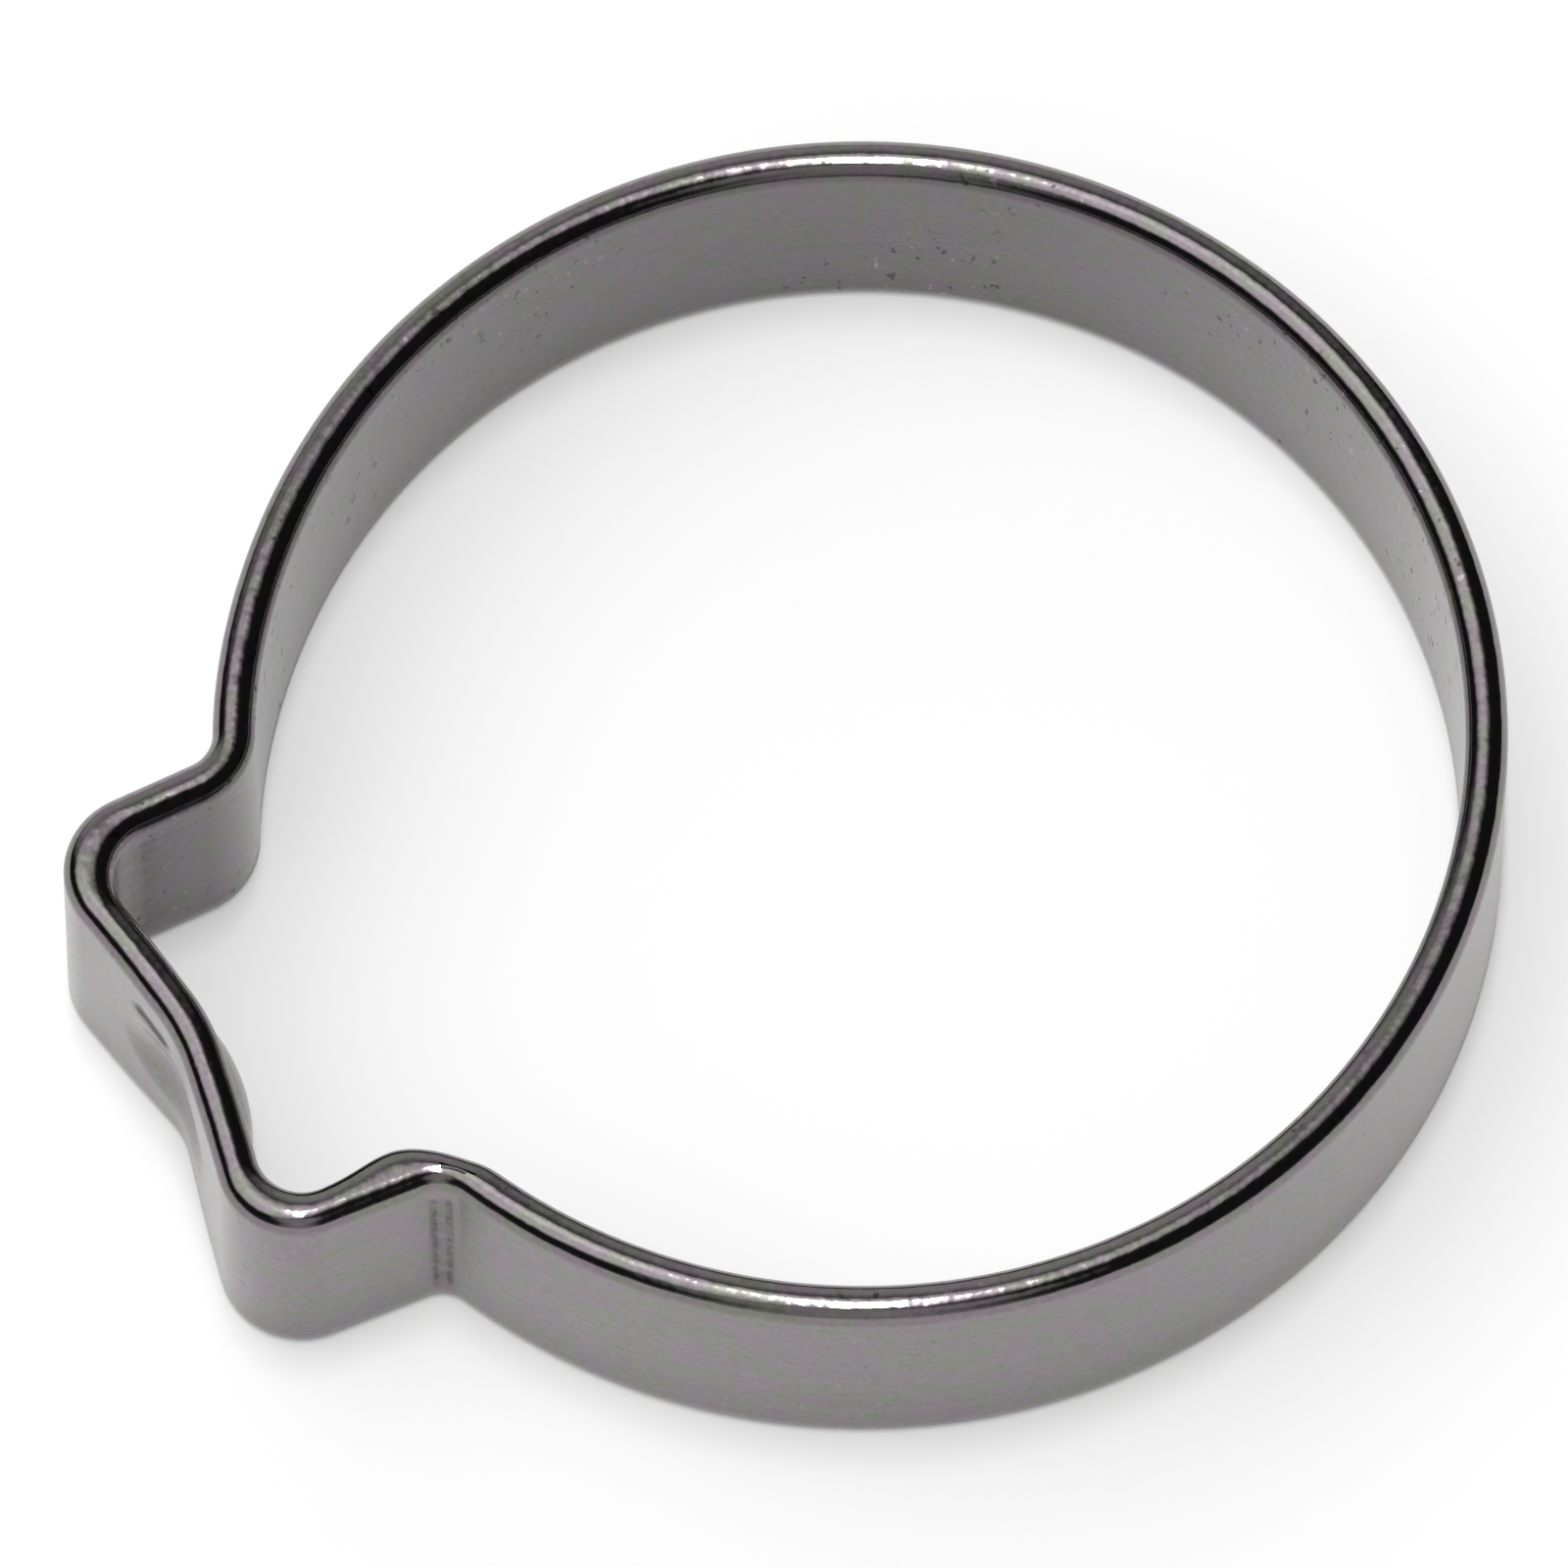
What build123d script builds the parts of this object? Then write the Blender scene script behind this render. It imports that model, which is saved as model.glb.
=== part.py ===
from build123d import *
from dataclasses import dataclass
import math
import os

# Ear hose clamp: one closed band of flat steel, bent out into a single ear.
#
# Frame, in millimetres: the origin is on the axis of the bore, halfway up
# the band. +Z runs along the bore and +X points out through the ear.
#
# Everything is drawn from the band's centreline, the line halfway through
# its thickness. A positive offset moves a line away from the bore.


@dataclass
class BandLine:
    """A line that follows the band all the way round, and how tightly it bends."""

    offset: float       # from the centreline
    waist: float        # radius of the bend from ring to leg
    shoulder: float     # radius of the bend from leg to crown
    notch: float        # radius of the bend in the middle of the crown

    def moved(self, shift):
        """The parallel line that lies shift further out; its bends keep their centres."""
        return BandLine(
            self.offset + shift,
            self.waist - shift,
            self.shoulder + shift,
            self.notch - shift,
        )


# ---- driving dimensions -------------------------------------------------
BORE_DIAMETER = 28.0        # open clamp, before the ear is pinched
BAND_THICKNESS = 1.0
BAND_WIDTH = 7.0            # along the axis of the bore
EDGE_RADIUS = 0.4           # deburred edges, close to a full round
EDGE_BEVELS = 4             # bevels that stand for each round; they leave it by under 0.01

# the ear, as seen along the axis of the bore
LEG_HALF_GAP = 5.5          # ear axis to leg centreline, where the leg meets the ring
LEG_LEAN = 3.0              # degrees that each leg leans in towards the other
CROWN_REACH = 17.25         # bore axis to crown centreline, at the notch
FLANK_TILT = 11.0           # degrees that each half of the crown falls to the notch
OUTER_FACE = BandLine(offset=BAND_THICKNESS / 2, waist=0.5, shoulder=1.95, notch=1.5)
INNER_FACE = BandLine(offset=-BAND_THICKNESS / 2, waist=2.1, shoulder=1.0, notch=2.3)
CENTRELINE = BandLine(offset=0, waist=1.3, shoulder=1.45, notch=1.9)

# the dimple that the punch leaves across the crown
DIMPLE_DEPTH = 0.48         # below the outer face, at the notch
DIMPLE_LENGTH_RADIUS = 3.4  # punch nose along the band
DIMPLE_WIDTH_RADIUS = 2.9   # punch nose across the band
DIMPLE_LIP_RADIUS = 0.2     # where the outer face turns down into the dimple
DIMPLE_FOOT_RADIUS = 0.6    # where the bulge rises from the inner face

# ---- worked out ---------------------------------------------------------
RING_RADIUS = (BORE_DIAMETER + BAND_THICKNESS) / 2      # of the centreline


def ear_polygon(offset):
    """The ear with sharp corners: two legs that lean in, under a crown with a notch."""
    lean = math.radians(LEG_LEAN)
    tilt = math.radians(FLANK_TILT)
    # a leg is the line y = leg_y - (x - RING_RADIUS) * tan(lean)
    leg_y = LEG_HALF_GAP + offset / math.cos(lean)
    root_y = leg_y + RING_RADIUS * math.tan(lean)
    # a flank is the line x = notch_x + y * tan(tilt); the two cross at the shoulder
    notch_x = CROWN_REACH + offset / math.cos(tilt)
    leg_y_at_notch = leg_y - (notch_x - RING_RADIUS) * math.tan(lean)
    shoulder_y = leg_y_at_notch / (1 + math.tan(tilt) * math.tan(lean))
    shoulder_x = notch_x + shoulder_y * math.tan(tilt)
    right = [(0, -root_y), (shoulder_x, -shoulder_y)]
    left = [(shoulder_x, shoulder_y), (0, root_y)]
    return Polygon(*right, (notch_x, 0), *left, align=None)


def all_within(line):
    """The flat shape that a band line encloses, with its bends rounded."""
    shape = Circle(RING_RADIUS + line.offset) + ear_polygon(line.offset)
    # going out from the bore, the corners are two waists, the notch and two shoulders
    notch = shape.vertices().sort_by(Axis.X)[2]
    shape = fillet(notch, line.notch)
    shoulders = shape.vertices().sort_by(Axis.X)[-2:]
    shape = fillet(shoulders, line.shoulder)
    waists = shape.vertices().sort_by(Axis.X)[:2]
    return fillet(waists, line.waist)


def edge_profile():
    """(inset, height) of each crease of a rounded face, from the lower rim to the upper one."""
    upper = []
    for step in range(EDGE_BEVELS + 1):
        angle = math.pi / 2 * step / EDGE_BEVELS
        inset = EDGE_RADIUS * (1 - math.cos(angle))
        height = BAND_WIDTH / 2 - EDGE_RADIUS * (1 - math.sin(angle))
        upper.append((inset, height))
    lower = [(inset, -height) for inset, height in reversed(upper)]
    return lower + upper


def rounded_block(face, outwards):
    """All that one face of the band encloses; at both rims the face turns outwards or inwards."""
    sections = [
        Pos(0, 0, height) * all_within(face.moved(inset if outwards else -inset))
        for inset, height in edge_profile()
    ]
    return loft(sections, ruled=True)


def plain_band():
    """The band before the punch: what the outer face encloses, less what the inner one does."""
    return rounded_block(OUTER_FACE, outwards=False) - rounded_block(INNER_FACE, outwards=True)


def punch_nose(growth):
    """The nose of the punch: a barrel that stands along the bore, grown all over by growth."""
    waist_radius = DIMPLE_LENGTH_RADIUS + growth
    crest_radius = DIMPLE_WIDTH_RADIUS + growth
    # the crest's arc is centred this far from the barrel's own axis
    arc_centre = waist_radius - crest_radius
    half_height = math.sqrt(crest_radius**2 - arc_centre**2)
    top = (0, 0, half_height)
    bottom = (0, 0, -half_height)
    profile = Wire([ThreePointArc(bottom, (waist_radius, 0, 0), top), Line(top, bottom)])
    barrel = revolve(Face(profile), Axis.Z)
    barrel_x = CROWN_REACH + OUTER_FACE.offset - DIMPLE_DEPTH + DIMPLE_LENGTH_RADIUS
    return Pos(barrel_x, 0, 0) * barrel


def inner_bulge():
    """Metal that the punch pushed through to the inner face: the nose grown by one thickness."""
    reach = extrude(all_within(CENTRELINE), amount=BAND_WIDTH / 2, both=True)
    return punch_nose(BAND_THICKNESS) & reach


def clamp_band():
    """The finished clamp, one piece of metal: the band with the dimple punched into its crown."""
    band = plain_band()
    bulge = inner_bulge()
    raised = band + bulge
    foot = new_edges(band, bulge, combined=raised)
    raised = fillet(foot, DIMPLE_FOOT_RADIUS)
    nose = punch_nose(0)
    dished = raised - nose
    lip = new_edges(raised, nose, combined=dished)
    return fillet(lip, DIMPLE_LIP_RADIUS)


os.makedirs("parts", exist_ok=True)
export_step(clamp_band(), "parts/clamp_band.step")
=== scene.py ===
# %% [markdown]
# # An ear hose clamp in bare steel
# The clamp is one closed band of flat steel strip, 7 mm wide and 1 mm thick, with its
# edges deburred to a round. On one side the band is bent out into an ear: two legs and
# a crown. The middle of the crown is pressed in to a notch, and a punch has left a
# dimple across it. Pinching the ear with pincers shortens the band and grips the hose.
#
# The packed model gives the size and the place of the band. This lesson loads it
# and dresses it with a finer band that has the marks of its making.

# %% The packed model
import math
from dataclasses import dataclass

import bpy
import numpy as np
from mathutils import Matrix


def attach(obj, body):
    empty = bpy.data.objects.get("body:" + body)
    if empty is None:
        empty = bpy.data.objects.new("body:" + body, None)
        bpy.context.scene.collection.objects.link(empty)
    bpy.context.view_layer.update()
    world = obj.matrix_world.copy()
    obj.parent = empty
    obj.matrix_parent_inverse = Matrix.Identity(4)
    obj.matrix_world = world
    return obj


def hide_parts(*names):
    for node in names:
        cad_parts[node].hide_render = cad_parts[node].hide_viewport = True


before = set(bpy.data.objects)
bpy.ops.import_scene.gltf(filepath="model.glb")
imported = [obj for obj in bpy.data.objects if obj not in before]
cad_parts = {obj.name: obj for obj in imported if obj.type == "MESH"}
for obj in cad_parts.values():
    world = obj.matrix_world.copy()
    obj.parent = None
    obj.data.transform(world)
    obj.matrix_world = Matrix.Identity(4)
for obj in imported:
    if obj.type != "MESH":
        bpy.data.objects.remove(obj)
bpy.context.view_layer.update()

MM = 0.001                  # a millimetre in metres, the unit of every object

print("nodes:", sorted(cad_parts))

# %% [markdown]
# ## The line of the band
# Seen along the bore, the band is a ring that opens into the ear. A curve drawn by hand
# would never be a true circle, so the line is worked out from the sizes of its bends
# instead: notch, flank, shoulder, leg, waist and ring, each an arc or a straight run
# that touches the next. The two halves of a real ear are never quite alike, because
# the strip springs back a little differently at each bend. So each half has its own sizes.

# %% Sizes of the band, in millimetres and degrees
RING_RADIUS = 14.5          # of the line halfway through the thickness
THICKNESS = 1.0
WIDTH = 7.0                 # along the bore
EDGE_RADIUS = 0.47          # of the rounded rims
NOTCH_REACH = 17.22         # bore axis to the middle of the notch
NOTCH_FOOT, NOTCH_TOP = 1.9, 4.4        # radius of that bend, at the lower and the upper rim


@dataclass
class EarHalf:
    """One half of the ear; a pair of radii is for the outer and the inner face."""

    sign: int           # which side of the ear's axis it lies on, along y
    gap: float          # ear axis to the middle of the leg, a ring's radius out
    lean: float         # degrees that the leg leans in
    tilt: float         # degrees that the flank rises from the notch
    shoulder: tuple
    waist: tuple


HALVES = [
    EarHalf(sign=-1, gap=5.44, lean=0.0, tilt=10.9, shoulder=(1.97, 1.31), waist=(0.89, 1.98)),
    EarHalf(sign=1, gap=5.54, lean=3.1, tilt=10.8, shoulder=(1.90, 1.10), waist=(0.86, 2.55)),
]
print("strip:", WIDTH, "x", THICKNESS, "mm, bore", 2 * RING_RADIUS - THICKNESS, "mm")

# %% Arcs and straight runs, on any number of parallel rows
# points along each run of one half
RUNS = {"notch": 14, "flank": 40, "shoulder": 28, "leg": 26, "waist": 40, "ring": 160}


def arc(centre, radius, start, end, steps):
    """Points at radius from centre, whose direction turns evenly from start to end."""
    share = np.linspace(0, 1, steps, endpoint=False)
    angle = start + (end - start) * share
    return centre[0] + radius * np.cos(angle), centre[1] + radius * np.sin(angle)


def straight(start, end, steps):
    """Points that go evenly from start to end, leaving out the end."""
    share = np.linspace(0, 1, steps, endpoint=False)
    return start[0] + (end[0] - start[0]) * share, start[1] + (end[1] - start[1]) * share


def stepped(start, direction, distance):
    """The place that lies distance from start along a direction."""
    return start[0] + direction[0] * distance, start[1] + direction[1] * distance


print("points on one half:", sum(RUNS.values()))

# %% Centres of the arcs that touch two runs
def shoulder_centre_of(notch_end, leg_start, radius, tilt, lean):
    """Centre of the arc that touches the flank and the leg, one radius inside both.

    Its dot product with either run's outward normal is that of the run, less the radius.
    The normals are (cos tilt, -sin tilt) for the flank and (sin lean, cos lean) for the leg.
    """
    flank_reach = notch_end[0] * math.cos(tilt) - notch_end[1] * math.sin(tilt) - radius
    leg_reach = leg_start[0] * math.sin(lean) + leg_start[1] * math.cos(lean) - radius
    turn = math.cos(tilt - lean)
    x = (flank_reach * math.cos(lean) + leg_reach * math.sin(tilt)) / turn
    y = (leg_reach * math.cos(tilt) - flank_reach * math.sin(lean)) / turn
    return x, y


def waist_centre_of(leg_start, ring_reach, radius, lean):
    """Centre of the arc that touches the leg and the ring from outside.

    It starts one radius from the leg and slides along it, until it lies the ring's reach
    plus one radius from the bore's axis. The slide is the root of a quadratic.
    """
    near = stepped(leg_start, (math.sin(lean), math.cos(lean)), radius)
    ahead = near[0] * math.cos(lean) - near[1] * math.sin(lean)
    reach = ring_reach + radius
    slide = ahead - np.sqrt(ahead**2 - near[0]**2 - near[1]**2 + reach**2)
    return stepped(near, (-math.cos(lean), math.sin(lean)), slide)


square_corner = shoulder_centre_of((1, 0), (0, 1), 0.25, 0.0, 0.0)
print("an arc of 0.25 in the corner at 1, 1 has its centre at", square_corner)

# %% One half of the line, and the whole of it
def half_line(half, offset, bends):
    """One half of the band's line as x and y, one row for each offset from the centreline."""
    notch, shoulder, waist = bends
    tilt, lean = math.radians(half.tilt), math.radians(half.lean)
    flank_normal = (math.cos(tilt), -math.sin(tilt))
    leg_normal = (math.sin(lean), math.cos(lean))
    # the notch arc has its centre on the ear's axis, outside the crown
    notch_centre = (NOTCH_REACH + offset + notch, 0 * offset)
    notch_end = stepped(notch_centre, flank_normal, -notch)
    leg_start = (RING_RADIUS + 0 * offset, half.gap + offset / math.cos(lean))
    shoulder_centre = shoulder_centre_of(notch_end, leg_start, shoulder, tilt, lean)
    waist_centre = waist_centre_of(leg_start, RING_RADIUS + offset, waist, lean)
    ring_start = np.arctan2(waist_centre[1], waist_centre[0])

    flank_end = stepped(shoulder_centre, flank_normal, shoulder)
    leg_top = stepped(shoulder_centre, leg_normal, shoulder)
    leg_foot = stepped(waist_centre, leg_normal, -waist)
    parts = [
        arc(notch_centre, notch, math.pi, math.pi - tilt, RUNS["notch"]),
        straight(notch_end, flank_end, RUNS["flank"]),
        arc(shoulder_centre, shoulder, -tilt, math.pi / 2 - lean, RUNS["shoulder"]),
        straight(leg_top, leg_foot, RUNS["leg"]),
        arc(waist_centre, waist, -math.pi / 2 - lean, ring_start - math.pi, RUNS["waist"]),
        arc((0, 0), RING_RADIUS + offset, ring_start, math.pi, RUNS["ring"]),
    ]
    x = np.concatenate([part[0] for part in parts], axis=1)
    y = np.concatenate([part[1] for part in parts], axis=1)
    return x, y * half.sign


def whole_line(face, inset, height):
    """The closed line at each inset and height: face is 0 for the outer one, 1 for the inner.

    A line inset from the outer face has tighter outward bends and wider inward ones, and
    one inset from the inner face the reverse, so the lines of a face stay parallel. The
    notch's bend also widens with height.
    """
    side = 1 - 2 * face
    inset = np.atleast_1d(inset)[:, None]
    offset = side * (THICKNESS / 2 - inset)
    upper = np.atleast_1d(height)[:, None] / WIDTH + 0.5
    notch = NOTCH_FOOT + (NOTCH_TOP - NOTCH_FOOT) * upper + side * inset
    lines = []
    for half in HALVES:
        bends = (notch, half.shoulder[face] - side * inset, half.waist[face] + side * inset)
        lines.append(half_line(half, offset, bends))
    (x_low, y_low), (x_high, y_high) = lines
    back = -(RING_RADIUS + offset)
    # up one half from the notch to the back, then down the other to beside the notch
    x = np.concatenate([x_high, back, x_low[:, :0:-1]], axis=1)
    y = np.concatenate([y_high, 0 * back, y_low[:, :0:-1]], axis=1)
    return x, y


middle_x, middle_y = whole_line(0, THICKNESS / 2, 0.0)
steps = np.hypot(middle_x - np.roll(middle_x, 1), middle_y - np.roll(middle_y, 1))
strip_length = float(steps.sum())
print("stations along the band:", middle_x.shape[1], "in", len(HALVES) * len(RUNS), "runs")
print("length of the strip, mm:", round(strip_length, 2))

# %% [markdown]
# ## The section of the band
# Slit strip has sharp edges, and a clamp's are rounded so that they don't cut the
# hose. The section is a loop of rows: up the outer face, over the upper rim, down the
# inner face and under the lower rim. Each row is a line parallel to its face, so the
# rounding keeps its true radius round every bend, which a Bevel modifier would not.

# %% Rows around the section
FINE_ROWS = (1.50, 2.10)    # heights between which the rows lie closer, for the dimple's lip
PLAIN_ROWS = (34, 12, 9)    # rows below, between and above those heights
ROUND_ROWS = 7              # rows of each quarter circle


def rounding():
    """Insets and heights from a wide face, up a quarter circle, to the flat of the rim."""
    angle = np.linspace(0, math.pi / 2, ROUND_ROWS + 1)
    inset = EDGE_RADIUS * (1 - np.cos(angle))
    height = WIDTH / 2 - EDGE_RADIUS * (1 - np.sin(angle))
    return inset, height


def face_rows():
    """Insets and heights of one face, from its lower rim to its upper one."""
    inset, height = rounding()
    spans = ((-height[0], FINE_ROWS[0]), FINE_ROWS, (FINE_ROWS[1], height[0]))
    runs = [np.linspace(*span, rows, endpoint=False) for span, rows in zip(spans, PLAIN_ROWS)]
    plain = np.concatenate(runs)[1:]
    insets = np.concatenate([inset[::-1], 0 * plain, inset])
    heights = np.concatenate([-height[::-1], plain, height])
    return insets, heights


insets, heights = face_rows()
outer_x, outer_y = whole_line(0, insets, heights)
inner_x, inner_y = whole_line(1, insets, heights)
side_z = np.repeat(heights[:, None], outer_x.shape[1], axis=1)
rim_share = np.clip(insets / EDGE_RADIUS, 0, 1)
print("rows on each face:", len(insets))

# %% [markdown]
# ## The dimple
# The punch has a barrel-shaped nose that stands along the bore. It pushes the outer
# face in where the nose is deeper than the face, and the metal behind it moves out of
# its way by the same amount, so the inner face bulges as the nose would if it were one
# thickness larger. Both are worked out as the lower of two heights, blended smoothly
# where they cross. Steel flows round a punch, so most of the lip is soft. Only at one
# upper corner did the nose bite first, and there the lip is sharp and reads as a crease.
# A Boolean with a barrel would cut such a pocket too, but its lip would be hard all round,
# the grid of faces would be torn, and nothing would rise on the inner face.

# %% Press the dimple
NOSE_AXIS = 20.46           # bore axis to the axis of the barrel
NOSE_SIDE, NOSE_HEIGHT = 0.08, -0.14    # of the barrel's middle, along y and along z
NOSE_LENGTH_RADIUS = 3.19   # along the band
NOSE_WIDTH_RADIUS = 3.38    # across the band
LIP_SHARP, LIP_SOFT = 0.03, 0.26        # height over which the pocket's lip is blended
BITE = (-0.9, 1.65)         # y and z of the sharp corner of the lip
BITE_REACH = (0.75, 0.6)    # of that corner, along y and along z
FOOT_BLEND = 0.14           # height over which the bulge's foot is blended
SQUEEZE = 0.15              # the pocket is this much shallower than the bulge behind it


def nose_surface(y, z, growth):
    """How far out the barrel's surface lies: its axis less the half chord at y and z.

    The barrel's radius at height z is its crest arc's half chord plus the distance from
    the barrel's axis to the centre of that arc.
    """
    crest = NOSE_WIDTH_RADIUS + growth
    chord = np.sqrt(np.clip(crest**2 - (z - NOSE_HEIGHT)**2, 0, None))
    radius = NOSE_LENGTH_RADIUS - NOSE_WIDTH_RADIUS + chord
    return NOSE_AXIS - np.sqrt(np.clip(radius**2 - (y - NOSE_SIDE)**2, 0, None))


def lower_of(a, b, blend):
    """The lower of two heights; where they are within blend of each other it dips below both."""
    overlap = np.clip(blend - abs(a - b), 0, None) / blend
    return np.minimum(a, b) - overlap**2 * blend / 4


def on_ear(x):
    """True for the part of the band that lies beyond the ring."""
    return x > RING_RADIUS + THICKNESS


def pressed(x, y, z, growth, blend, lift):
    """x of a face after the punch, which presses only what is in its way."""
    in_the_way = on_ear(x) & (abs(y) < NOSE_LENGTH_RADIUS + growth)
    return np.where(in_the_way, lower_of(x, nose_surface(y, z, growth) + lift, blend), x)


biting = np.exp(
    -((outer_y - BITE[0]) / BITE_REACH[0])**2 - ((side_z - BITE[1]) / BITE_REACH[1])**2
)
lip_blend = LIP_SOFT + (LIP_SHARP - LIP_SOFT) * biting
outer_pressed = pressed(outer_x, outer_y, side_z, 0, lip_blend, SQUEEZE)
inner_pressed = pressed(inner_x, inner_y, side_z, THICKNESS, FOOT_BLEND, 0)
print("dimple depth:", round(float((outer_x - outer_pressed).max()), 3), "mm")
print("bulge height:", round(float((inner_x - inner_pressed).max()), 3), "mm")

# %% [markdown]
# ## Marks of the bending tools
# Each sharp bend is made over the corner of a blade. The corners leave a pair of fine
# lines across the strip where the bend starts and ends, and the steel gets painted shade
# along them. A line is a groove whose depth is a bell curve of the distance from its middle.
# It ends short of the rounded rims, because the blade doesn't reach that far. The punch
# left a short scar of the same kind where it bit into the dimple's lip. All of them are
# real geometry, and the same bell curves are kept as an attribute that darkens the steel
# there as painted shade. Painted on the steel alone, they would be dark but would never
# catch the light on one side.

# %% Where the tools touched the strip
@dataclass
class ToolMark:
    """A groove across the strip with painted shade along it, or only painted shade where its depth
    is 0.
    """

    x: float            # of its middle
    y: float
    width: float        # of its bell curve
    depth: float
    darkness: float     # of the painted shade along it, from 0 to 1


# Marks without depth are only painted shade: in the waists on the outer face, and over the legs on
# the inner one.
OUTER_MARKS = [
    ToolMark(14.00, 6.10, width=0.10, depth=0.036, darkness=1.0),
    ToolMark(13.73, 6.26, width=0.10, depth=0.032, darkness=1.0),
    ToolMark(13.86, 6.16, width=0.24, depth=0.0, darkness=0.4),
    ToolMark(13.95, -5.94, width=0.10, depth=0.036, darkness=1.0),
    ToolMark(13.64, -6.17, width=0.10, depth=0.032, darkness=1.0),
    ToolMark(13.79, -6.05, width=0.24, depth=0.0, darkness=0.4),
]
INNER_MARKS = [
    ToolMark(16.95, -4.64, width=0.16, depth=0.014, darkness=0.7),
    ToolMark(16.08, -4.94, width=0.16, depth=0.018, darkness=0.6),
    ToolMark(16.30, -4.90, width=1.10, depth=0.0, darkness=0.45),
    ToolMark(17.05, 4.55, width=0.16, depth=0.012, darkness=0.6),
    ToolMark(15.35, 4.98, width=0.16, depth=0.012, darkness=0.6),
    ToolMark(16.10, 4.95, width=1.00, depth=0.0, darkness=0.3),
]
MARK_END, MARK_FADE = 0.75, 0.35        # edge of the strip to the end of a mark, and its tail
SCAR_START, SCAR_END = (-1.38, 1.87), (-0.48, 1.76)     # y and z on the crown
SCAR_WIDTH, SCAR_DEPTH = 0.24, 0.06
# The scar's darkness is painted shade in the crease of the dimple's lip.
SCAR_PAINTED_SHADE, SCAR_POWER = 3.5, 1.4    # darkness = SCAR_PAINTED_SHADE * bell ** SCAR_POWER
print("tool marks:", len(OUTER_MARKS), "on the outer face and", len(INNER_MARKS), "on the inner")

# %% Press the marks
def scar(x, y, z):
    """Bell curve of the distance from the short line where the punch bit into the lip."""
    run_y, run_z = SCAR_END[0] - SCAR_START[0], SCAR_END[1] - SCAR_START[1]
    share = ((y - SCAR_START[0]) * run_y + (z - SCAR_START[1]) * run_z) / (run_y**2 + run_z**2)
    share = np.clip(share, 0, 1)
    gap = np.hypot(y - SCAR_START[0] - share * run_y, z - SCAR_START[1] - share * run_z)
    return np.exp(-(gap / SCAR_WIDTH)**2) * on_ear(x)


def normals(x, y):
    """Unit vectors square to each closed row, pointing to the right of its direction."""
    run_x = np.roll(x, -1, axis=1) - np.roll(x, 1, axis=1)
    run_y = np.roll(y, -1, axis=1) - np.roll(y, 1, axis=1)
    length = np.hypot(run_x, run_y)
    return run_y / length, -run_x / length


def tool_marks(x, y, z, marks):
    """Depth of all marks together, and the darkness of the darkest one.

    The bell curve of a mark is exp(-(distance / width) squared), and it fades out
    towards both rims.
    """
    depth, darkest = 0 * x, 0 * x
    reach = np.clip((WIDTH / 2 - MARK_END - abs(z)) / MARK_FADE, 0, 1)
    for mark in marks:
        bell = np.exp(-((x - mark.x)**2 + (y - mark.y)**2) / mark.width**2) * reach
        depth = depth + mark.depth * bell
        darkest = np.maximum(darkest, mark.darkness * bell)
    return depth, darkest


def grooved(x, y, z, marks, side):
    """A face with its tool marks pressed in; side is 1 for the outer face and -1 for the inner."""
    depth, darkest = tool_marks(x, y, z, marks)
    normal_x, normal_y = normals(x, y)
    return x - side * depth * normal_x, y - side * depth * normal_y, darkest


outer_done_x, outer_done_y, outer_dark = grooved(outer_pressed, outer_y, side_z, OUTER_MARKS, 1)
bitten = scar(outer_pressed, outer_y, side_z)
outer_done_x = outer_done_x - SCAR_DEPTH * bitten
# painted shade along the crease where the punch bit
outer_dark = np.maximum(outer_dark, SCAR_PAINTED_SHADE * bitten**SCAR_POWER)
inner_done_x, inner_done_y, inner_dark = grooved(inner_pressed, inner_y, side_z, INNER_MARKS, -1)
print("points in a groove:", int((outer_dark > 0.5).sum() + (inner_dark > 0.5).sum()))

# %% [markdown]
# ## Springback
# When the tools let go, the strip moves a little. The upper edge of the notch came back
# out and the lower edge stayed in, the ring stands off slightly beside one leg, and the
# inner side of one waist swelled into the ear. Each is a bell curve of the distance
# from a place, added to the shape in one direction. A lattice could bend the mesh as
# well, but a formula can be read, and taken out again. All moves are under 0.25 mm.

# %% Springback
NOTCH_DRIFT_TOP, NOTCH_DRIFT_FOOT = 0.086, -0.110       # outward, at either rim
NOTCH_DRIFT_WIDTH = 1.58
RING_SWELL, SWELL_ANGLE, SWELL_WIDTH = 0.122, -23.0, 16.0
# x and y of the middle, width, and movement along y, on the inner face of one waist
WAIST_MOVES = [(14.55, 5.03, 1.05, -0.24), (13.1, 5.8, 0.5, 0.05)]


def sprung(x, y, z, inner):
    """The band after springback; inner is 0 on the outer face and 1 on the inner one."""
    upper = (z / (WIDTH / 2) + 1) / 2
    notch = np.exp(-(y / NOTCH_DRIFT_WIDTH)**2) * on_ear(x)
    x = x + notch * (NOTCH_DRIFT_TOP * upper + NOTCH_DRIFT_FOOT * (1 - upper))
    angle = np.degrees(np.arctan2(y, x))
    swell = RING_SWELL * np.exp(-((angle - SWELL_ANGLE) / SWELL_WIDTH)**2)
    turn = math.radians(SWELL_ANGLE)
    x, y = x + swell * math.cos(turn), y + swell * math.sin(turn)
    for place_x, place_y, width, move in WAIST_MOVES:
        bell = np.exp(-((x - place_x)**2 + (y - place_y)**2) / width**2) * inner
        y = y + move * bell
    return x, y


outer_done_x, outer_done_y = sprung(outer_done_x, outer_done_y, side_z, 0)
inner_done_x, inner_done_y = sprung(inner_done_x, inner_done_y, side_z, 1)
print("furthest point of the ear:", round(float(outer_done_x.max()), 3), "mm")

# %% [markdown]
# ## One closed mesh
# A real band is one strip with its ends joined, so it has neither a first nor a last
# station. The rows of both faces are put end to end into a loop, and the stations are a
# loop too, so the grid of corners joins up in both directions and the mesh is closed
# without any seam to weld. Attributes carry what the steel has to know about each point.

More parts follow.
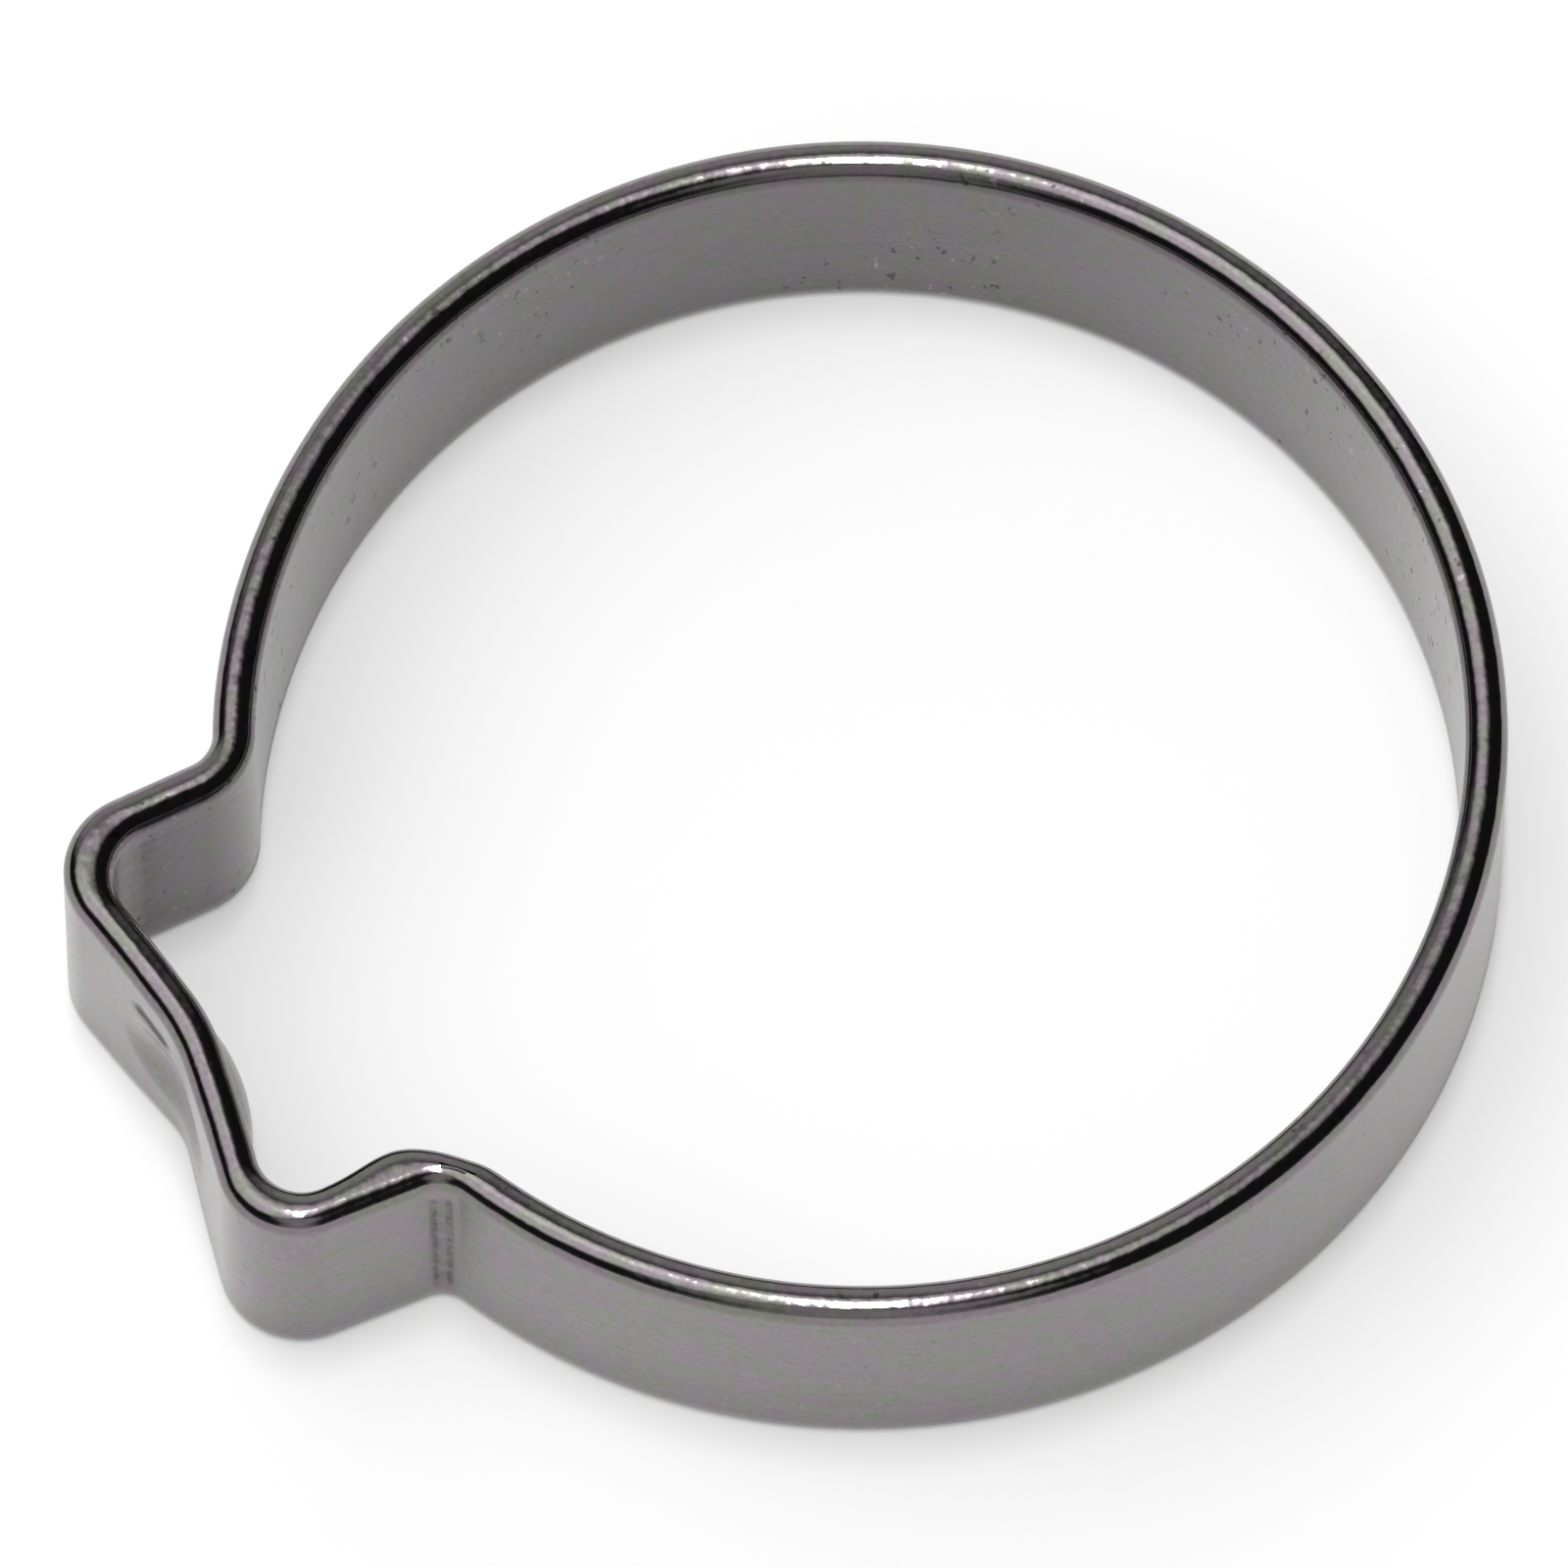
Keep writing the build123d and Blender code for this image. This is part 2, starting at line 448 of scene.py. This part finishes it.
# %% Rows joined into a loop
def loop_of(outer, inner):
    """Outer rows upwards, then inner rows downwards: one closed loop around the section."""
    return np.concatenate([outer, inner[::-1]], axis=0)


band_x = loop_of(outer_done_x, inner_done_x)
band_y = loop_of(outer_done_y, inner_done_y)
band_z = loop_of(side_z, side_z)
# the distance of each row from the first one, round the section at the notch
start_x = loop_of(outer_x, inner_x)[:, 0]
round_section = np.concatenate([[0.0], np.cumsum(np.hypot(np.diff(start_x), np.diff(band_z[:, 0])))])
print("rows in the loop:", len(band_x), "over", round(float(round_section[-1]), 2), "mm")

# %% The mesh
def flat_map(rows, columns):
    """Four map corners for each face of the grid, laid out flat: u goes along the band."""
    column, row = np.meshgrid(np.arange(columns), np.arange(rows))
    left, right = column / columns, (column + 1) / columns
    low, high = row / rows, (row + 1) / rows
    u = np.stack([left, right, right, left], axis=-1)
    v = np.stack([low, low, high, high], axis=-1)
    return np.stack([u, v], axis=-1)


def closed_grid(name, x, y, z, attributes):
    """A mesh whose rows and columns both join up end to end, with its map and attributes."""
    rows, columns = x.shape
    index = np.arange(rows * columns).reshape(rows, columns)
    right = np.roll(index, -1, axis=1)
    above, above_right = np.roll(index, -1, axis=0), np.roll(right, -1, axis=0)
    corners = np.stack([index, right, above_right, above], axis=-1)
    points = np.stack([x, y, z], axis=-1) * MM
    mesh = bpy.data.meshes.new(name)
    mesh.from_pydata(points.reshape(-1, 3).tolist(), [], corners.reshape(-1, 4).tolist())
    mesh.polygons.foreach_set("use_smooth", np.ones(len(mesh.polygons), bool))
    layer = mesh.uv_layers.new(name="OFBake")
    layer.uv.foreach_set("vector", flat_map(rows, columns).astype(np.float32).ravel())
    for title, values in attributes.items():
        attribute = mesh.attributes.new(title, "FLOAT", "POINT")
        attribute.data.foreach_set("value", values.astype(np.float32).ravel())
    mesh.update()
    piece = bpy.data.objects.new(name, mesh)
    bpy.context.scene.collection.objects.link(piece)
    return piece


band = closed_grid("clamp_band_steel", band_x, band_y, band_z, {
    "rim": loop_of(rim_share, rim_share)[:, None] + 0 * band_x,
    "across": round_section[:, None] + 0 * band_x,
    "inside": loop_of(0 * side_z, 0 * side_z + 1),
    "mark": loop_of(outer_dark, inner_dark),
})
print("faces:", len(band.data.polygons))

# %% [markdown]
# ## A check on the mesh
# A closed skin that faces outwards encloses a volume with a plus sign, and here it has to
# be close to the strip's length times its section. The sum over the triangles gives it
# without any other tool. Then the band is tied to the packed model: it moves with the
# body and takes the place of the plain band.

# %% Check the mesh, and tie it to the packed model
def volume_of(mesh):
    """Six times the volume is the sum of the triple products of the triangles' corners."""
    mesh.calc_loop_triangles()
    corners = np.zeros(len(mesh.loop_triangles) * 3, np.int32)
    mesh.loop_triangles.foreach_get("vertices", corners)
    places = np.zeros(len(mesh.vertices) * 3, np.float32)
    mesh.vertices.foreach_get("co", places)
    a, b, c = (places.reshape(-1, 3)[corners[k::3]] for k in range(3))
    return float((a * np.cross(b, c)).sum() / 6)


section = WIDTH * THICKNESS - (4 - math.pi) * EDGE_RADIUS**2
print("volume of the mesh, mm3:", round(volume_of(band.data) / MM**3, 1))
print("length times section, mm3:", round(strip_length * section, 1))
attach(band, "root")
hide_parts("clamp_band")

# %% [markdown]
# ## A way to write shader sums
# A node tree is hard to read as a list of links. The small class below wraps a socket,
# so that a sum such as `0.3 + 0.1 * grain` adds its Math nodes by itself. Colours go
# through Mix nodes, and every other node comes from one method.

# %% Sockets that can be used in sums
class Signal:
    """A number or colour that flows out of a node; sums with it add Math nodes."""

    def __init__(self, tree, socket):
        self.tree = tree
        self.socket = socket

    def other(self, output):
        """Another output of the same node."""
        return Signal(self.tree, self.socket.node.outputs[output])

    def maths(self, operation, *values):
        """A Math node; the values go into its sockets in their order."""
        return self.tree.add("ShaderNodeMath", {"operation": operation}, dict(enumerate(values)))

    def __add__(self, other):
        return self.maths("ADD", self, other)

    def __radd__(self, other):
        return self.maths("ADD", other, self)

    def __sub__(self, other):
        return self.maths("SUBTRACT", self, other)

    def __rsub__(self, other):
        return self.maths("SUBTRACT", other, self)

    def __mul__(self, other):
        return self.maths("MULTIPLY", self, other)

    def __rmul__(self, other):
        return self.maths("MULTIPLY", other, self)

    def at_most(self, limit):
        """The signal, or the limit where the signal is larger."""
        return self.maths("MINIMUM", self, limit)


print("a signal has + - * and", [name for name in vars(Signal) if not name.startswith("_")])

# %% A tree that nodes are added to
class Tree:
    """A node tree, emptied, that nodes are added to one by one."""

    def __init__(self, owner):
        owner.use_nodes = True
        self.nodes = owner.node_tree.nodes
        self.links = owner.node_tree.links
        self.nodes.clear()

    def add(self, kind, settings=None, inputs=None, output=0):
        """One node: its settings first, then the values or links of its sockets."""
        node = self.nodes.new(kind)
        for name, value in (settings or {}).items():
            setattr(node, name, value)
        for name, value in (inputs or {}).items():
            if isinstance(value, Signal):
                self.links.new(value.socket, node.inputs[name])
            else:
                node.inputs[name].default_value = value
        return Signal(self, node.outputs[output]) if len(node.outputs) else node

    def attribute(self, name):
        """A number that the mesh carries for each of its points."""
        return self.add("ShaderNodeAttribute", {"attribute_name": name}, output="Fac")

    def mix(self, share, first, second):
        """Colour that goes from first to second as share goes from 0 to 1."""
        settings = {"data_type": "RGBA", "clamp_factor": True}
        return self.add("ShaderNodeMix", settings, {0: share, 6: first, 7: second}, output=2)

    def noise(self, vector, scale, detail, roughness=0.5):
        """Noise around 0.5, with about scale blobs in each unit of the vector."""
        inputs = {"Vector": vector, "Scale": scale, "Detail": detail, "Roughness": roughness}
        return self.add("ShaderNodeTexNoise", None, inputs)

    def between(self, value, low, high):
        """0 below low, 1 above high, and a smooth step between."""
        inputs = {"Value": value, "From Min": low, "From Max": high}
        return self.add("ShaderNodeMapRange", {"interpolation_type": "SMOOTHSTEP"}, inputs)


print("a tree has", [name for name in vars(Tree) if not name.startswith("_")])

# %% [markdown]
# ## Bare steel
# Cold-rolled strip has a dull grey face with a fine grain that runs along the band, a
# faint purple and green cast in blotches, and a few pits. Tumbling has polished its
# rounded edges, so they mirror the room sharply: black lines, and short glints that the
# ripples left in the edge break into sparks. The metal's colour is dark, and most of
# what shows is reflection. A picture of steel wrapped round the band would meet itself
# in a seam, and noise has none. The grain follows the strip, so it reads how far a point
# lies round the section, while blotches and pits read plain object coordinates.

# %% What the steel reads
steel = bpy.data.materials.new("bare_steel")
tree = Tree(steel)
place = tree.add("ShaderNodeTexCoord", output="Object")
in_mm = tree.add("ShaderNodeVectorMath", {"operation": "SCALE"}, {0: place, "Scale": 1 / MM})
x_mm = tree.add("ShaderNodeSeparateXYZ", None, {0: in_mm})
y_mm = x_mm.other("Y")
across_band = tree.attribute("across")
inner_face = tree.attribute("inside")
marked = tree.attribute("mark")
polished = tree.between(tree.attribute("rim"), 0.0, 0.55)
carried = [attribute.name for attribute in band.data.attributes if attribute.data_type == "FLOAT"]
print("numbers that the mesh carries:", carried)

# %% Grain, blotches and pits
GRAIN_ALONG, GRAIN_ACROSS = 0.12, 9.0       # streaks in each millimetre
SPECKLES, BLOTCHES, SHADE_BLOTCHES, RIPPLES = 6.0, 1.1, 3.0, 1.7      # blobs in each millimetre
SPOTS, CLUSTERS = 3.8, 0.16
SPOT_STRETCH = (1.0, 1.0, 0.65)             # under 1, so the spots are long across the band

streaks = tree.add("ShaderNodeCombineXYZ", None, {
    "X": x_mm * GRAIN_ALONG, "Y": y_mm * GRAIN_ALONG, "Z": across_band * GRAIN_ACROSS,
})
rolled = tree.noise(streaks, 1.0, 3.0, 0.6)
speckle = tree.noise(in_mm, SPECKLES, 3.0, 0.6)
blotch = tree.noise(in_mm, BLOTCHES, 3.0, 0.6)
shade_blotches = tree.noise(in_mm, SHADE_BLOTCHES, 2.0, 0.6)
ripple = tree.noise(in_mm, RIPPLES, 2.0)
cluster = tree.between(tree.noise(in_mm, CLUSTERS, 1.0), 0.46, 0.60) * (0.25 + 0.75 * inner_face)
stretched = tree.add("ShaderNodeVectorMath", {"operation": "MULTIPLY"}, {0: in_mm, 1: SPOT_STRETCH})
spots = tree.noise(stretched, SPOTS, 1.0)
pits = tree.between(spots, 0.66, 0.74) * cluster
flecks = tree.between(spots, 0.32, 0.24) * cluster
print("pits and bright flecks lie in clusters about", round(0.5 / CLUSTERS), "mm wide")

# %% Colour, polish and relief
PURPLISH, GREENISH = (0.254, 0.218, 0.243, 1), (0.229, 0.236, 0.204, 1)
RELIEF_DEPTH, RELIEF_SHARE = 0.02 * MM, 0.25    # of the bump, and how much of it shows

plain = tree.mix(tree.between(blotch, 0.42, 0.62), PURPLISH, GREENISH)
# painted shade along the tool marks and the scar, broken into blotches
painted_mark_shade = (marked * (0.2 + 0.8 * tree.between(shade_blotches, 0.3, 0.62))).at_most(1.0)
grain_shade = 0.70 + 0.60 * speckle + 0.30 * (rolled - 0.5)
# The wide faces are a little duller than the polished rims, and the inner face is darker still as
# painted shade.
face_dulling_and_inner_painted_shade = 1 - (0.12 + 0.30 * inner_face) * (1 - polished)
shade = grain_shade * face_dulling_and_inner_painted_shade * (1 - 0.6 * pits) * (1 + 0.7 * flecks) * (1 - 0.8 * painted_mark_shade)
colour = tree.add("ShaderNodeVectorMath", {"operation": "SCALE"}, {0: plain, "Scale": shade})

face_rough = 0.20 + 0.06 * rolled + 0.12 * pits
rim_rough = 0.07 + 0.05 * speckle
rough = face_rough * (1 - polished) + rim_rough * polished

face_height = 0.6 * rolled + 0.5 * speckle - 0.8 * pits
height = face_height * (1 - polished) + 3.2 * ripple * polished
bump = tree.add("ShaderNodeBump", None, {
    "Strength": RELIEF_SHARE, "Distance": RELIEF_DEPTH, "Height": height,
})
shader = tree.add("ShaderNodeBsdfPrincipled", None, {
    "Base Color": colour, "Metallic": 1.0, "Roughness": rough, "Normal": bump,
})
tree.add("ShaderNodeOutputMaterial", None, {"Surface": shader})
band.data.materials.append(steel)
print("steel nodes:", len(steel.node_tree.nodes))

# %% [markdown]
# ## The stage
# Polished steel shows its surroundings more than its own colour, so the room matters
# as much as the metal. The clamp lies on a round sheet of white paper. A flat sheet would
# end in a hard line that the steel mirrors, so its edge turns up into a low backdrop.
# Round it is a dark room with soft patches of light, and one long narrow lamp hangs almost
# overhead. Both are placed from the camera's side, because what the steel mirrors depends
# on where it is seen from.

# %% Directions, counted from the camera's side
VIEW_AZIMUTH = 63.75        # compass angle of the camera from +X, in degrees
VIEW_ELEVATION = 66.713


def around(azimuth, elevation, distance):
    """A place round the bore's centre; azimuth and elevation are in degrees."""
    a, e = math.radians(VIEW_AZIMUTH + azimuth), math.radians(elevation)
    return distance * np.array([math.cos(e) * math.cos(a), math.cos(e) * math.sin(a), math.sin(e)])


def unit(vector):
    """The vector at length 1."""
    return vector / np.linalg.norm(vector)


def placed(right, up, back, place):
    """The matrix of an object at place, whose own axes point along right, up and back."""
    matrix = Matrix(np.stack([right, up, back], axis=1).tolist()).to_4x4()
    matrix.translation = place
    return matrix


print("direction of the camera:", around(0, VIEW_ELEVATION, 1.0).round(3))

# %% The paper sheet
PAPER_RADIUS = 1.5          # out to where the paper turns up, in metres
PAPER_TURN = 0.1            # radius of that turn
PAPER_TURN_END = 1.3        # how far round it goes, in radians
PAPER_HEART = 0.2           # radius of the flat face in the middle
FLOOR = -WIDTH / 2 * MM


def paper_sheet(name, profile, sides=144):
    """A surface turned about the bore's axis, from a profile of radii and heights.

    Each point of the profile is a ring, and one flat face fills the innermost.
    """
    angle = np.linspace(0, 2 * math.pi, sides, endpoint=False)[None]
    radius, height = np.array(profile).T[:, :, None]
    points = np.stack([radius * np.cos(angle), radius * np.sin(angle), height + 0 * angle], axis=-1)
    index = np.arange(points.shape[0] * sides).reshape(-1, sides)
    ahead = np.roll(index, -1, axis=1)
    corners = np.stack([index[:-1], index[1:], ahead[1:], ahead[:-1]], axis=-1).reshape(-1, 4)
    mesh = bpy.data.meshes.new(name)
    mesh.from_pydata(points.reshape(-1, 3).tolist(), [], corners.tolist() + [index[0].tolist()])
    sheet = bpy.data.objects.new(name, mesh)
    bpy.context.scene.collection.objects.link(sheet)
    return sheet


turn_up = [
    (PAPER_RADIUS + PAPER_TURN * math.sin(angle), FLOOR + PAPER_TURN - PAPER_TURN * math.cos(angle))
    for angle in np.linspace(0, PAPER_TURN_END, 7)
]
floor = paper_sheet("floor", [(PAPER_HEART, FLOOR), *turn_up])
print("paper reaches", round(turn_up[-1][0], 2), "m out and", round(turn_up[-1][1], 2), "m up")

# %% White paper
PAPER_LIFT = 0.12           # light of its own that the paper shows to the eye and to mirrors

paper = bpy.data.materials.new("paper")
tree = Tree(paper)
to_eye = tree.add("ShaderNodeLightPath", output="Is Camera Ray")
seen = to_eye + to_eye.other("Is Glossy Ray") + to_eye.other("Is Transmission Ray")
lift = tree.mix(seen, (0, 0, 0, 1), (PAPER_LIFT, PAPER_LIFT, PAPER_LIFT, 1))
shader = tree.add("ShaderNodeBsdfPrincipled", None, {
    "Base Color": (0.95, 0.95, 0.95, 1), "Roughness": 0.9, "Specular IOR Level": 0.1,
    "Emission Color": lift, "Emission Strength": 1.0,
})
tree.add("ShaderNodeOutputMaterial", None, {"Surface": shader})
floor.data.materials.append(paper)
print("paper nodes:", len(paper.node_tree.nodes))

# %% [markdown]
# ## The long lamp
# A small lamp would leave a dot on each rounded edge, and a wide one would wash the edges
# grey. A strip almost overhead leaves a short bright glint wherever an edge lies across
# it, and it lights the paper evenly from 3 m away. It is narrow, so the glints stay thin.

# %% The long lamp
STRIP_ELEVATION = 85        # degrees, on the camera's side
STRIP_DISTANCE = 3.0
STRIP_SIZE = (0.15, 1.55)   # across the view, and along it
STRIP_RADIANCE = 62.0


def oblong_lamp(name, azimuth, elevation, distance, size, radiance):
    """An oblong lamp that faces the clamp, its first side level and across the view.

    A lamp's power is its radiance times its area times pi.
    """
    data = bpy.data.lights.new(name, "AREA")
    data.shape = "RECTANGLE"
    data.size, data.size_y = size
    data.energy = radiance * size[0] * size[1] * math.pi
    lamp = bpy.data.objects.new(name, data)
    bpy.context.scene.collection.objects.link(lamp)
    facing = around(azimuth, elevation, 1.0)
    sideways = around(90, 0, 1.0)
    level = unit(sideways - facing * (sideways @ facing))
    lamp.matrix_world = placed(level, np.cross(facing, level), facing, facing * distance)
    return lamp


strip = oblong_lamp("strip", 0, STRIP_ELEVATION, STRIP_DISTANCE, STRIP_SIZE, STRIP_RADIANCE)
print("strip lamp, watts:", round(strip.data.energy, 1))

# %% [markdown]
# ## The dark room
# Screens and walls round the table show in the steel as broad soft tones, and the dark
# between them draws the black lines along the rounded edges. Modelling them would cost
# much for a blur, so the room is a dark world with soft round patches of light. Each is a
# smooth step on the cosine of the angle from its middle.

# %% The dark room
ROOM_LIGHT = 0.02           # of the darkest parts
# strength; azimuth and elevation of the middle; degrees out to the edge and to the full heart
GLOWS = [
    (1.35, -90, 68, 38.7, 16.3),        # high on the left
    (0.45, 180, 80, 21.6, 8.0),         # nearly overhead, a little behind
    (0.60, 192, 22, 46.0, 4.0),         # low behind
    (0.50, 0, 42, 27.0, 0.0),           # half way up in front
    (0.50, 0, 8, 25.0, 0.0),            # low in front
]

world = bpy.data.worlds.new("room")
bpy.context.scene.world = world
tree = Tree(world)
direction = tree.add("ShaderNodeTexCoord", output="Generated")


def glow(azimuth, elevation, edge, heart):
    """A soft round patch of light: 0 beyond edge degrees from its middle, 1 within heart degrees.

    The dot product of two directions is the cosine of the angle between them.
    """
    ends = {0: direction, 1: tuple(around(azimuth, elevation, 1.0))}
    cosine = tree.add("ShaderNodeVectorMath", {"operation": "DOT_PRODUCT"}, ends, output="Value")
    return tree.between(cosine, math.cos(math.radians(edge)), math.cos(math.radians(heart)))


light = ROOM_LIGHT
for strength, *patch in GLOWS:
    light = light + strength * glow(*patch)
background = tree.add("ShaderNodeBackground", None, {"Color": (1, 1, 1, 1), "Strength": light})
tree.add("ShaderNodeOutputWorld", None, {"Surface": background})
print("room nodes:", len(world.node_tree.nodes))

# %% [markdown]
# ## The camera
# A clamp as small as this is best shown from well above with a long lens, which keeps the
# two rims almost parallel. The camera looks at a point beside the bore's centre and is
# rolled a little. Its axes are worked out in full, so that no tracking constraint is needed.

# %% Camera
VIEW_ROLL = -0.256          # degrees
VIEW_DISTANCE = 660.8 * MM
VIEW_LENS = 649.9           # on a sensor 36 mm wide
VIEW_AIM = (-1.835 * MM, -0.061 * MM)   # right of the bore's centre, and above it, in the view


def view_axes():
    """The camera's right, up and backward directions, with its small roll."""
    back = around(0, VIEW_ELEVATION, 1.0)
    right = unit(np.cross([0, 0, 1], back))
    up = np.cross(back, right)
    cosine, sine = math.cos(math.radians(VIEW_ROLL)), math.sin(math.radians(VIEW_ROLL))
    return cosine * right - sine * up, sine * right + cosine * up, back


right, up, back = view_axes()
eye = back * VIEW_DISTANCE
towards = unit(eye - right * VIEW_AIM[0] - up * VIEW_AIM[1])
right = unit(np.cross(up, towards))
camera_data = bpy.data.cameras.new("camera")
camera_data.lens = VIEW_LENS
camera_data.sensor_width = 36.0
camera = bpy.data.objects.new("camera", camera_data)
camera.matrix_world = placed(right, np.cross(towards, right), towards, eye)
bpy.context.scene.collection.objects.link(camera)
bpy.context.scene.camera = camera
bpy.context.scene.view_settings.view_transform = "Standard"
print("the camera stands", round(float(eye[2]), 3), "m above the middle of the band")

# %% [markdown]
# ## Sizes
# The dressed band has to keep to the packed model's box, because other parts of the
# library are fitted by that box.
